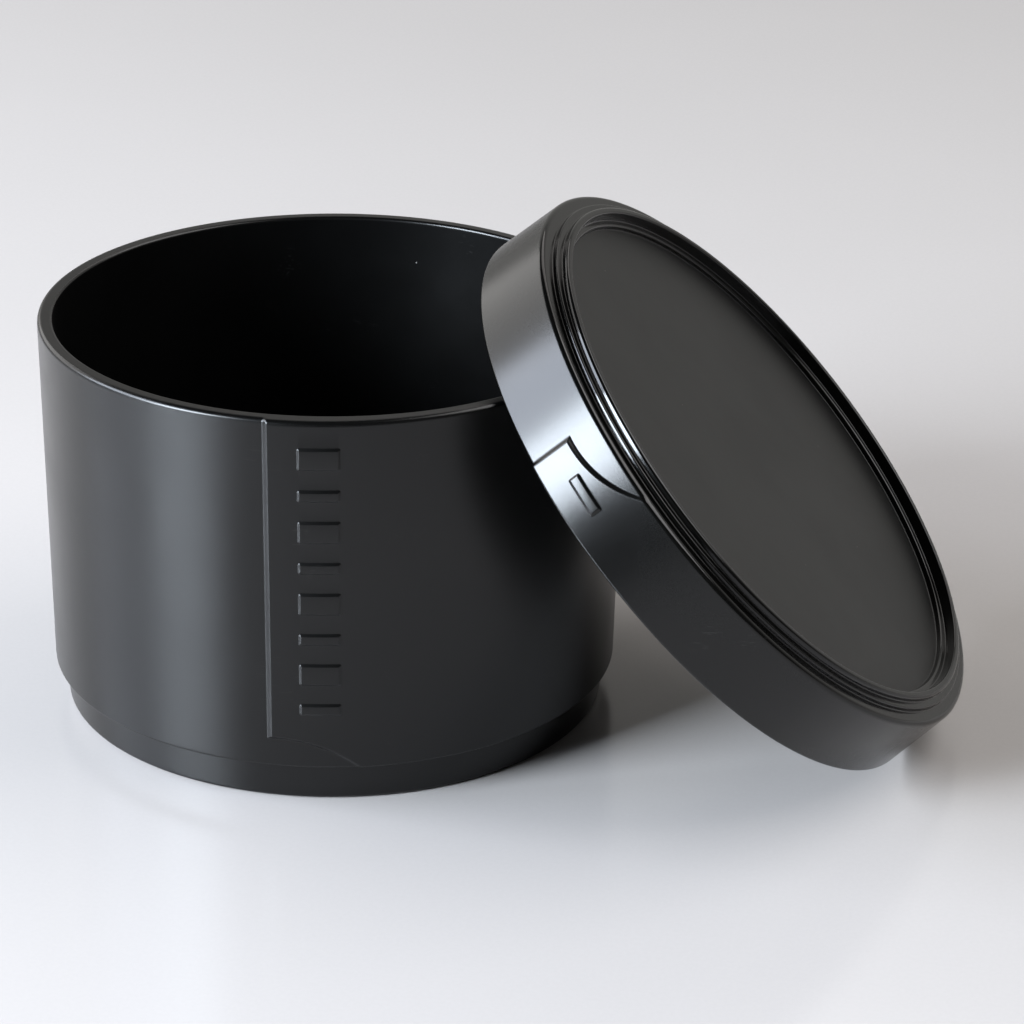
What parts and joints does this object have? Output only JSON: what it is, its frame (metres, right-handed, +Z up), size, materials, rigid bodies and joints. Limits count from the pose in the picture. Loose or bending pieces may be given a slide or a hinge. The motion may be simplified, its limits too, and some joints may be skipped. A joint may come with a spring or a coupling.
{
  "type": "lidded rice container",
  "caption": "Round satin black rice container: tapered tub on a foot ring, lap edge with stitch relief, and a stepped stacking lid that leans on the rim.",
  "frame": {"origin": "on the ground, under the middle of the whole outline, tub and leaning lid together", "axes": "+Z up along the tub's axis, +X from the tub towards the lid that leans on it, so the lap edge and stitches face -Y"},
  "size_m": [0.2397, 0.1636, 0.1318],
  "materials": {
    "tub_lacquer": "satin black coating that looks like lacquer",
    "lid_lacquer": "satin black coating that looks like lacquer"
  },
  "bodies": {
    "tub": {"tub": "tub_lacquer"},
    "lid": {"lid": "lid_lacquer"}
  },
  "joints": [
    {"name": "lid_lift", "type": "slide", "parent": "tub", "child": "lid", "axis": [0, 0, 1], "range_m": [0, 0.11]}
  ]
}
